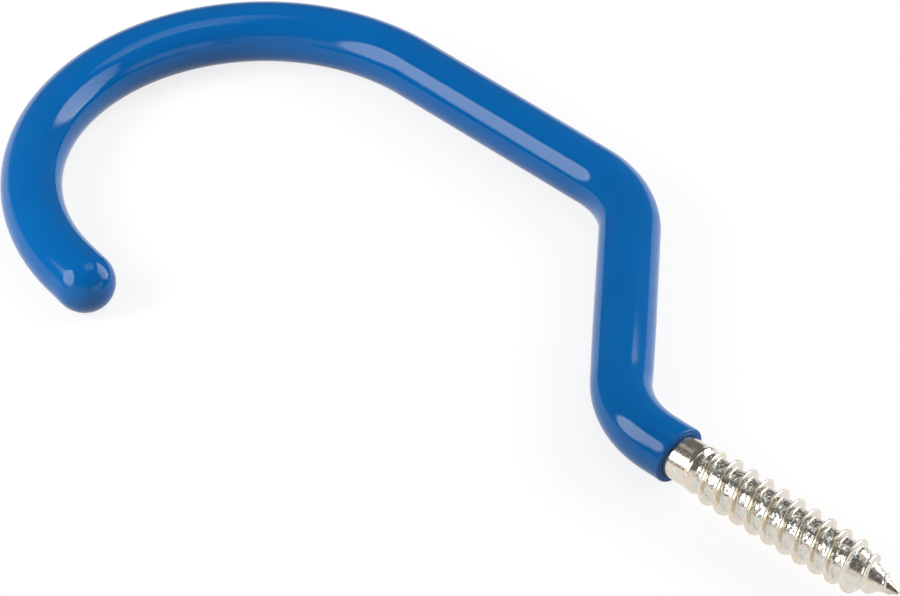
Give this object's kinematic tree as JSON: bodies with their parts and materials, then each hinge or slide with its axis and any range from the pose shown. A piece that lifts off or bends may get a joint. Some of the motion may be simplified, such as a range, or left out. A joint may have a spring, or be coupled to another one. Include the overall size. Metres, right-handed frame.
{
  "type": "bicycle storage hook",
  "caption": "Screw-in bicycle storage hook: a bent steel rod with a lag-screw thread, in a glossy blue vinyl sleeve over its dogleg and open hook.",
  "frame": {"origin": "on the screw's axis, at the sleeve's square-cut mouth", "axes": "+X along the screw towards its point; +Y towards the side that the dogleg steps to; +Z square to the hook's own plane, up as it lies flat"},
  "size_m": [0.1905, 0.0901, 0.0108],
  "materials": {
    "zinc_plated_steel": "satin",
    "blue_vinyl": "gloss"
  },
  "bodies": {
    "root": {"steel_hook": "zinc_plated_steel", "vinyl_sleeve": "blue_vinyl"}
  },
  "joints": []
}
